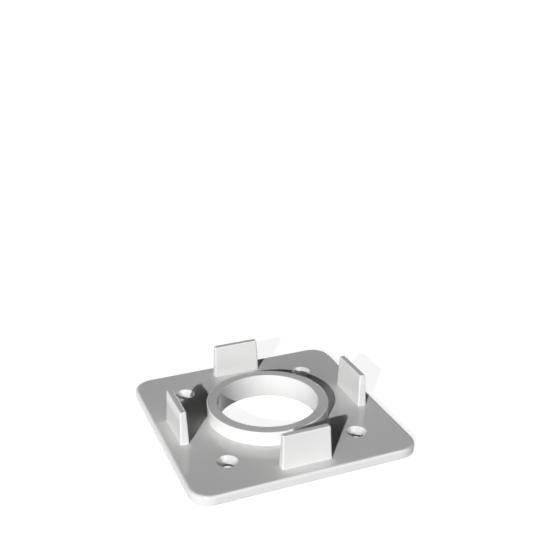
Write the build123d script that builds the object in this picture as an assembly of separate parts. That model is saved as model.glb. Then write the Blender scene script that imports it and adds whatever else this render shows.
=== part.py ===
"""Railing post base: one moulded plate with a spigot ring, four locating tabs and four screw holes.

Millimetres, +Z up. The origin is on the ring's axis at the plate's underside. +X runs along one side
of the square plate and +Y along the next.
"""

import os
from math import radians, tan

from build123d import *

# Tabs: an upright tongue at the middle of each side of the square, drafted all round to leave its
# mould. Its sizes are taken at its foot, and the span over the feet of two opposite outer faces.
SIDES = 4
TAB_SPAN = 94.7
TAB_WIDTH = 24.0
TAB_THICKNESS = 4.35
TAB_HEIGHT = 16.35
TAB_DRAFT = 2.3
TAB_EDGE_ROUND = 0.7

# Plate: a flat square with rounded corners, a soft top edge and a slighter one under it. The ledge is
# what it leaves outside the tabs, and makes it 108 mm over all, which is 4-1/4 in.
PLATE_LEDGE = 6.65
PLATE_THICKNESS = 4.6
PLATE_CORNER_RADIUS = 10.0
PLATE_EDGE_ROUND = 1.45
PLATE_FOOT_ROUND = 0.7

# Ring: a short upright spigot round the open centre. Its bore runs straight on through the plate.
RING_OUTER_DIAMETER = 58.5
RING_WALL = 5.2
RING_HEIGHT = 7.0
RING_RIM_ROUND = 0.5

# Screw holes: one near each corner, countersunk for a flat-headed screw, 2-1/2 in apart.
SCREW_SPACING = 63.5
SCREW_HOLE_DIAMETER = 6.0
SCREW_HEAD_DIAMETER = 9.6
COUNTERSINK_ANGLE = 82.0

# A rounding takes at most this share of the wall that it is on.
ROUND_SHARE = 0.4

# A cutter passes this far beyond each face that it opens.
CUT_PAST = 1.0

PLATE_SIDE = TAB_SPAN + 2 * PLATE_LEDGE
TAB_TIP_THICKNESS = TAB_THICKNESS - 2 * TAB_HEIGHT * tan(radians(TAB_DRAFT))
RING_BORE_RADIUS = RING_OUTER_DIAMETER / 2 - RING_WALL


def rounding(radius, wall):
    """The wanted rounding, or the largest that its wall has room for."""
    return min(radius, wall * ROUND_SHARE)


def plate():
    """The flat square, with its corners rounded and its top and bottom outer edges softened."""
    outline = RectangleRounded(PLATE_SIDE, PLATE_SIDE, PLATE_CORNER_RADIUS)
    body = extrude(outline, PLATE_THICKNESS)
    top_edge = body.faces().sort_by(Axis.Z)[-1].edges()
    body = fillet(top_edge, rounding(PLATE_EDGE_ROUND, PLATE_THICKNESS))
    foot_edge = body.faces().sort_by(Axis.Z)[0].edges()
    return fillet(foot_edge, rounding(PLATE_FOOT_ROUND, PLATE_THICKNESS))


def ring():
    """The spigot, turned from the section of its wall, with both rims of its top softened."""
    section = Rectangle(RING_WALL, RING_HEIGHT, align=(Align.MIN, Align.MIN))
    section = Pos(RING_BORE_RADIUS, PLATE_THICKNESS) * section
    rims = section.vertices().group_by(Axis.Y)[-1]
    section = fillet(rims, rounding(RING_RIM_ROUND, RING_WALL))
    return revolve(Plane.XZ * section, Axis.Z)


def tab():
    """One tongue, standing on the plate at the middle of its front side."""
    blank = extrude(Rectangle(TAB_WIDTH, TAB_THICKNESS), TAB_HEIGHT, taper=TAB_DRAFT)
    foot = blank.faces().sort_by(Axis.Z)[0].edges()
    blank = fillet(blank.edges() - foot, rounding(TAB_EDGE_ROUND, TAB_TIP_THICKNESS))
    return Pos(0, (TAB_THICKNESS - TAB_SPAN) / 2, PLATE_THICKNESS) * blank


def tabs():
    """The tongues, each turned to face outwards on its own side of the plate."""
    return [Rot(0, 0, 360 / SIDES * side) * tab() for side in range(SIDES)]


def bore():
    """The round opening through ring and plate, as a cutter."""
    depth = PLATE_THICKNESS + RING_HEIGHT + 2 * CUT_PAST
    stand_on_base = (Align.CENTER, Align.CENTER, Align.MIN)
    return Pos(0, 0, -CUT_PAST) * Cylinder(RING_BORE_RADIUS, depth, align=stand_on_base)


def screw_holes():
    """The countersunk holes, as cutters that open at the plate's top face."""
    hole = CounterSinkHole(
        radius=SCREW_HOLE_DIAMETER / 2,
        counter_sink_radius=SCREW_HEAD_DIAMETER / 2,
        depth=PLATE_THICKNESS + CUT_PAST,
        counter_sink_angle=COUNTERSINK_ANGLE,
    )
    places = GridLocations(SCREW_SPACING, SCREW_SPACING, 2, 2)
    return [Pos(0, 0, PLATE_THICKNESS) * place * hole for place in places]


def post_base():
    """The whole moulding as one solid."""
    body = plate() + ring() + tabs()
    return body - bore() - screw_holes()


os.makedirs("parts", exist_ok=True)
export_step(post_base(), "parts/post_base.step")
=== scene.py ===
import math

import bmesh
import bpy
from mathutils import Matrix, Vector

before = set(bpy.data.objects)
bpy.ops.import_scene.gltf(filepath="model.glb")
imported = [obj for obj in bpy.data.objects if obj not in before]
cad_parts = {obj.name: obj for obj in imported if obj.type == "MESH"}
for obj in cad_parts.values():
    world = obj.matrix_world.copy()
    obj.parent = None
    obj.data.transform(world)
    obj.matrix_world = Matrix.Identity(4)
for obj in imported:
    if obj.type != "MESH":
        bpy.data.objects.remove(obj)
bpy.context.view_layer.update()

# Post base: the plate, its ring and its four tabs come out of one mould in a hard white plastic.
# Nothing is joined on or painted, so one skin covers it all: smooth and fairly glossy, with the fine
# grain and the faint slow waves that the mould and the cooling leave in it.
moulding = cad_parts["post_base"]

PLASTIC_IOR = 1.54
TINT_LOW = (0.715, 0.715, 0.709, 1.0)
TINT_HIGH = (0.735, 0.735, 0.732, 1.0)
ROUGHNESS_LOW = 0.10
ROUGHNESS_HIGH = 0.14
CLOUDS_PER_METRE = 70.0
CLOUD_DETAIL = 3.0
WAVES_PER_METRE = 45.0
WAVE_DETAIL = 1.0
WAVE_DEPTH = 0.00003
GRAIN_PER_METRE = 2600.0
GRAIN_DETAIL = 2.0
GRAIN_DEPTH = 0.000004

# Most of a noise pattern lies between these two values.
NOISE_LOW = 0.35
NOISE_HIGH = 0.65


def noise_pattern(nodes, links, spot, per_metre, detail):
    """A cloud pattern in the piece's own space, with about so many clouds to a metre."""
    noise = nodes.new("ShaderNodeTexNoise")
    noise.inputs["Scale"].default_value = per_metre
    noise.inputs["Detail"].default_value = detail
    links.new(spot.outputs["Object"], noise.inputs["Vector"])
    return noise


def spread_over(nodes, links, pattern, low, high):
    """The pattern's middle range, spread between two values."""
    spread = nodes.new("ShaderNodeMapRange")
    spread.inputs["From Min"].default_value = NOISE_LOW
    spread.inputs["From Max"].default_value = NOISE_HIGH
    spread.inputs["To Min"].default_value = low
    spread.inputs["To Max"].default_value = high
    links.new(pattern.outputs["Fac"], spread.inputs["Value"])
    return spread


def raised_by(nodes, links, pattern, depth, under=None):
    """A bump of this depth in metres, on top of the bump under it."""
    bump = nodes.new("ShaderNodeBump")
    bump.inputs["Strength"].default_value = 1.0
    bump.inputs["Distance"].default_value = depth
    links.new(pattern.outputs["Fac"], bump.inputs["Height"])
    if under is not None:
        links.new(under.outputs["Normal"], bump.inputs["Normal"])
    return bump


def white_plastic():
    """Hard white plastic, as it leaves a smooth mould."""
    finish = bpy.data.materials.new("white_plastic")
    finish.use_nodes = True
    nodes = finish.node_tree.nodes
    links = finish.node_tree.links
    shader = nodes["Principled BSDF"]
    shader.inputs["IOR"].default_value = PLASTIC_IOR
    spot = nodes.new("ShaderNodeTexCoord")

    clouds = noise_pattern(nodes, links, spot, CLOUDS_PER_METRE, CLOUD_DETAIL)
    tint = nodes.new("ShaderNodeMix")
    tint.data_type = "RGBA"
    tint.inputs["A"].default_value = TINT_LOW
    tint.inputs["B"].default_value = TINT_HIGH
    links.new(clouds.outputs["Fac"], tint.inputs["Factor"])
    links.new(tint.outputs["Result"], shader.inputs["Base Color"])

    sheen = spread_over(nodes, links, clouds, ROUGHNESS_LOW, ROUGHNESS_HIGH)
    links.new(sheen.outputs["Result"], shader.inputs["Roughness"])

    waves = noise_pattern(nodes, links, spot, WAVES_PER_METRE, WAVE_DETAIL)
    grain = noise_pattern(nodes, links, spot, GRAIN_PER_METRE, GRAIN_DETAIL)
    wavy = raised_by(nodes, links, waves, WAVE_DEPTH)
    grainy = raised_by(nodes, links, grain, GRAIN_DEPTH, wavy)
    links.new(grainy.outputs["Normal"], shader.inputs["Normal"])
    return finish


moulding.data.materials.clear()
moulding.data.materials.append(white_plastic())

# Floor and backdrop: one wide sheet of pale paper that lies under the base and curves up all round it.
# The camera and the shiny skin of the plastic see it white, and it keeps the shadow of the base.
FLOOR_RADIUS = 4.0
SWEEP_RADIUS = 1.0
BACKDROP_TOP = 1.85
CURVE_STEPS = 12
ROUND_STEPS = 96
MERGE_WITHIN = 0.0001
PAPER_GREY = 0.22

# On the floor the lamps add to the paper's own white. Further up they reach it less, so that white
# grows with height, until at this height in metres it is full.
FLOOR_WHITE = 0.91
FULL_WHITE = 1.0
FULL_WHITE_HEIGHT = 0.09


def sweep():
    """The sheet, spun from a line along the floor, round the curve and up to the top."""
    shape = bmesh.new()
    line = [shape.verts.new((0.0, 0.0, 0.0)), shape.verts.new((FLOOR_RADIUS, 0.0, 0.0))]
    for step in range(1, CURVE_STEPS + 1):
        turn = math.radians(90.0) * step / CURVE_STEPS
        out = FLOOR_RADIUS + SWEEP_RADIUS * math.sin(turn)
        line.append(shape.verts.new((out, 0.0, SWEEP_RADIUS * (1 - math.cos(turn)))))
    line.append(shape.verts.new((FLOOR_RADIUS + SWEEP_RADIUS, 0.0, BACKDROP_TOP)))
    for start, end in zip(line, line[1:]):
        shape.edges.new((start, end))
    bmesh.ops.spin(
        shape, geom=shape.verts[:] + shape.edges[:], cent=(0, 0, 0), axis=(0, 0, 1),
        angle=math.radians(360.0), steps=ROUND_STEPS, use_merge=True)
    bmesh.ops.remove_doubles(shape, verts=shape.verts[:], dist=MERGE_WITHIN)
    bmesh.ops.recalc_face_normals(shape, faces=shape.faces[:])
    for face in shape.faces:
        face.smooth = True
    mesh = bpy.data.meshes.new("sweep")
    shape.to_mesh(mesh)
    shape.free()
    piece = bpy.data.objects.new("sweep", mesh)
    bpy.context.scene.collection.objects.link(piece)
    return piece


def worked_out(nodes, links, operation, first, second):
    """The output of a sum that takes these two outputs."""
    step = nodes.new("ShaderNodeMath")
    step.operation = operation
    links.new(first, step.inputs[0])
    links.new(second, step.inputs[1])
    return step.outputs["Value"]


def pale_paper():
    """Matt paper, seen white both flat and where it curves up, that still takes a shadow."""
    finish = bpy.data.materials.new("pale_paper")
    finish.use_nodes = True
    nodes = finish.node_tree.nodes
    links = finish.node_tree.links
    nodes.clear()
    matt = nodes.new("ShaderNodeBsdfDiffuse")
    matt.inputs["Color"].default_value = (PAPER_GREY, PAPER_GREY, PAPER_GREY, 1.0)

    ray = nodes.new("ShaderNodeLightPath")
    seen = worked_out(nodes, links, "MAXIMUM", ray.outputs["Is Camera Ray"], ray.outputs["Is Glossy Ray"])
    shown = worked_out(nodes, links, "MAXIMUM", seen, ray.outputs["Is Transmission Ray"])

    spot = nodes.new("ShaderNodeTexCoord")
    place = nodes.new("ShaderNodeSeparateXYZ")
    links.new(spot.outputs["Object"], place.inputs["Vector"])
    whiter = nodes.new("ShaderNodeMapRange")
    whiter.inputs["From Min"].default_value = 0.0
    whiter.inputs["From Max"].default_value = FULL_WHITE_HEIGHT
    whiter.inputs["To Min"].default_value = FLOOR_WHITE
    whiter.inputs["To Max"].default_value = FULL_WHITE
    links.new(place.outputs["Z"], whiter.inputs["Value"])

    white = nodes.new("ShaderNodeEmission")
    level = worked_out(nodes, links, "MULTIPLY", shown, whiter.outputs["Result"])
    links.new(level, white.inputs["Strength"])
    both = nodes.new("ShaderNodeAddShader")
    links.new(matt.outputs["BSDF"], both.inputs[0])
    links.new(white.outputs["Emission"], both.inputs[1])
    surface = nodes.new("ShaderNodeOutputMaterial")
    links.new(both.outputs["Shader"], surface.inputs["Surface"])
    return finish


backdrop = sweep()
backdrop.data.materials.append(pale_paper())
backdrop.visible_shadow = False

# Light: a key lamp from the front left, low enough for long clear shadows, a broad one under it that
# lifts the upright faces, a weak one from behind for the far sides, and a dim even light all round.
# A soft panel at the front right is there for the gloss alone: it draws a line on rounded edges.
KEY_AZIMUTH = 39.5
KEY_HEIGHT = 24.2
KEY_POWER = 3.0
KEY_WIDTH = 0.6
FILL_AZIMUTH = 45.0
FILL_HEIGHT = 12.0
FILL_POWER = 1.25
FILL_WIDTH = 20.0
BACK_AZIMUTH = 214.0
BACK_HEIGHT = 3.0
BACK_POWER = 0.75
BACK_WIDTH = 8.0
PANEL_AZIMUTH = -28.0
PANEL_HEIGHT = 52.0
PANEL_WIDTH = 2.0
PANEL_TALL = 1.4
PANEL_POWER = 36.0
LAMP_DISTANCE = 2.0
ROOM_WHITE = (1.0, 1.0, 1.0, 1.0)
ROOM_LEVEL = 0.01

studio = bpy.data.worlds.new("studio")
studio.use_nodes = True
room = studio.node_tree.nodes["Background"]
room.inputs["Color"].default_value = ROOM_WHITE
room.inputs["Strength"].default_value = ROOM_LEVEL
bpy.context.scene.world = studio


def hang(lamp, azimuth, height):
    """Put a lamp up, turned from the front to the left by its azimuth, with angles in degrees."""
    holder = bpy.data.objects.new(lamp.name, lamp)
    bpy.context.scene.collection.objects.link(holder)
    turn = math.radians(azimuth)
    rise = math.radians(height)
    way = Vector((-math.sin(turn) * math.cos(rise), -math.cos(turn) * math.cos(rise), math.sin(rise)))
    holder.location = way * LAMP_DISTANCE
    holder.rotation_mode = "QUATERNION"
    holder.rotation_quaternion = way.to_track_quat("Z", "Y")
    return holder


def far_lamp(name, azimuth, height, power, width):
    """A lamp that lights as if from far away, and looks so many degrees wide from the base."""
    lamp = bpy.data.lights.new(name, "SUN")
    lamp.energy = power
    lamp.angle = math.radians(width)
    hang(lamp, azimuth, height)


far_lamp("key_lamp", KEY_AZIMUTH, KEY_HEIGHT, KEY_POWER, KEY_WIDTH)
far_lamp("fill_lamp", FILL_AZIMUTH, FILL_HEIGHT, FILL_POWER, FILL_WIDTH)
far_lamp("back_lamp", BACK_AZIMUTH, BACK_HEIGHT, BACK_POWER, BACK_WIDTH)

panel = bpy.data.lights.new("panel", "AREA")
panel.shape = "RECTANGLE"
panel.size = PANEL_WIDTH
panel.size_y = PANEL_TALL
panel.energy = PANEL_POWER
panel_holder = hang(panel, PANEL_AZIMUTH, PANEL_HEIGHT)
panel_holder.visible_diffuse = False
panel_holder.visible_camera = False

# Camera: it looks down on the base from the front left, a little under half a metre away. Its place
# and angles were fitted by laying the base's edges over those in the photo.
EYE = (-0.1368, -0.3452, 0.2276)
LENS = 58.9
SENSOR = 36.0
YAW = math.radians(21.855)
PITCH = math.radians(21.845)
ROLL = math.radians(-0.31)
CLIP_NEAR = 0.01
CLIP_FAR = 100.0

ahead = Vector((math.sin(YAW) * math.cos(PITCH), math.cos(YAW) * math.cos(PITCH), -math.sin(PITCH)))
level_side = Vector((math.cos(YAW), -math.sin(YAW), 0.0))
level_up = level_side.cross(ahead)
side = level_side * math.cos(ROLL) + level_up * math.sin(ROLL)
up = level_up * math.cos(ROLL) - level_side * math.sin(ROLL)

lens = bpy.data.cameras.new("camera")
lens.sensor_width = SENSOR
lens.lens = LENS
lens.clip_start = CLIP_NEAR
lens.clip_end = CLIP_FAR
camera = bpy.data.objects.new("camera", lens)
bpy.context.scene.collection.objects.link(camera)
camera.location = EYE
camera.rotation_mode = "QUATERNION"
camera.rotation_quaternion = Matrix((side, up, -ahead)).transposed().to_quaternion()
bpy.context.scene.camera = camera
bpy.context.scene.view_settings.view_transform = "Standard"
